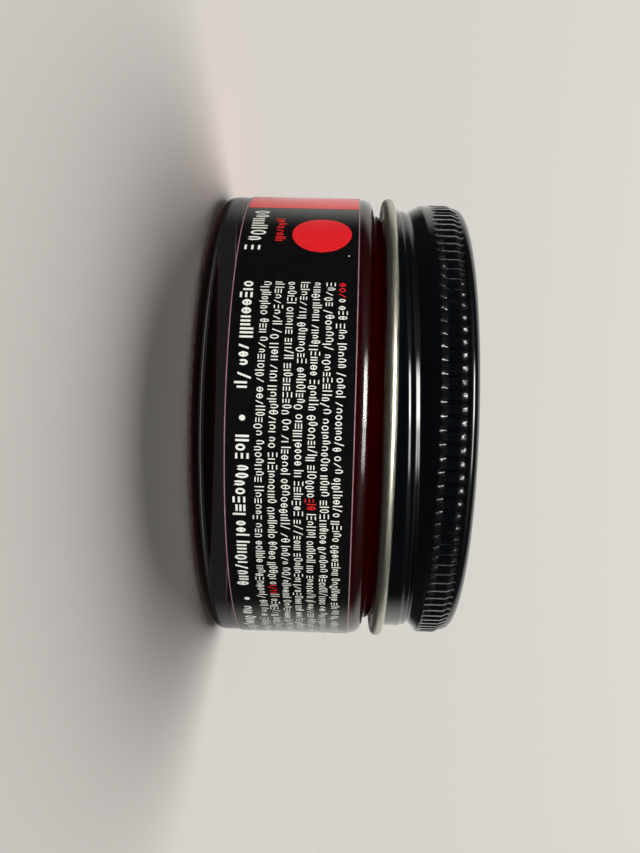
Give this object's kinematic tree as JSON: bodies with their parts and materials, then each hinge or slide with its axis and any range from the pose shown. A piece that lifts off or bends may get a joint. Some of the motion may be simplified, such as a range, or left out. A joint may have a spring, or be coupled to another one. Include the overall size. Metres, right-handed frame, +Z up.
{
  "type": "cream jar",
  "caption": "Low round glass jar of shoe cream with a wrap label and a knurled black steel screw lid that unscrews along its thread.",
  "frame": {"origin": "on the jar's axis, in the plane of the underside it stands on", "axes": "+Z up along the jar's axis, towards the lid; the small print on the wrap label faces -Y"},
  "size_m": [0.0614, 0.0614, 0.0324],
  "materials": {
    "clear_glass": "clear pressed glass, polished",
    "cream": "burgundy wax cream, satin",
    "label": "black film label with white and red print",
    "sticker": "dark paper sticker",
    "enamelled_steel": "gloss black enamel outside, gold-silver lacquer inside and on the curled edge",
    "liner": "off-white foam liner"
  },
  "bodies": {
    "jar": {"glass_jar": "clear_glass", "shoe_cream": "cream", "wrap_label": "label", "base_sticker": "sticker"},
    "liner": {"lid_liner": "liner"},
    "lid": {"lid_shell": "enamelled_steel"}
  },
  "joints": [
    {"name": "lid_rise", "type": "slide", "parent": "jar", "child": "liner", "axis": [0, 0, 1], "range_m": [0, 0.0127]},
    {"name": "lid_turn", "type": "hinge", "parent": "liner", "child": "lid", "pos_m": [0, 0, 0.0321], "axis": [0, 0, 1], "range_deg": [0, 1080]}
  ],
  "couplings": [
    {"joint": "lid_rise", "follows": "lid_turn", "m_per_rad": 0.00067322}
  ]
}
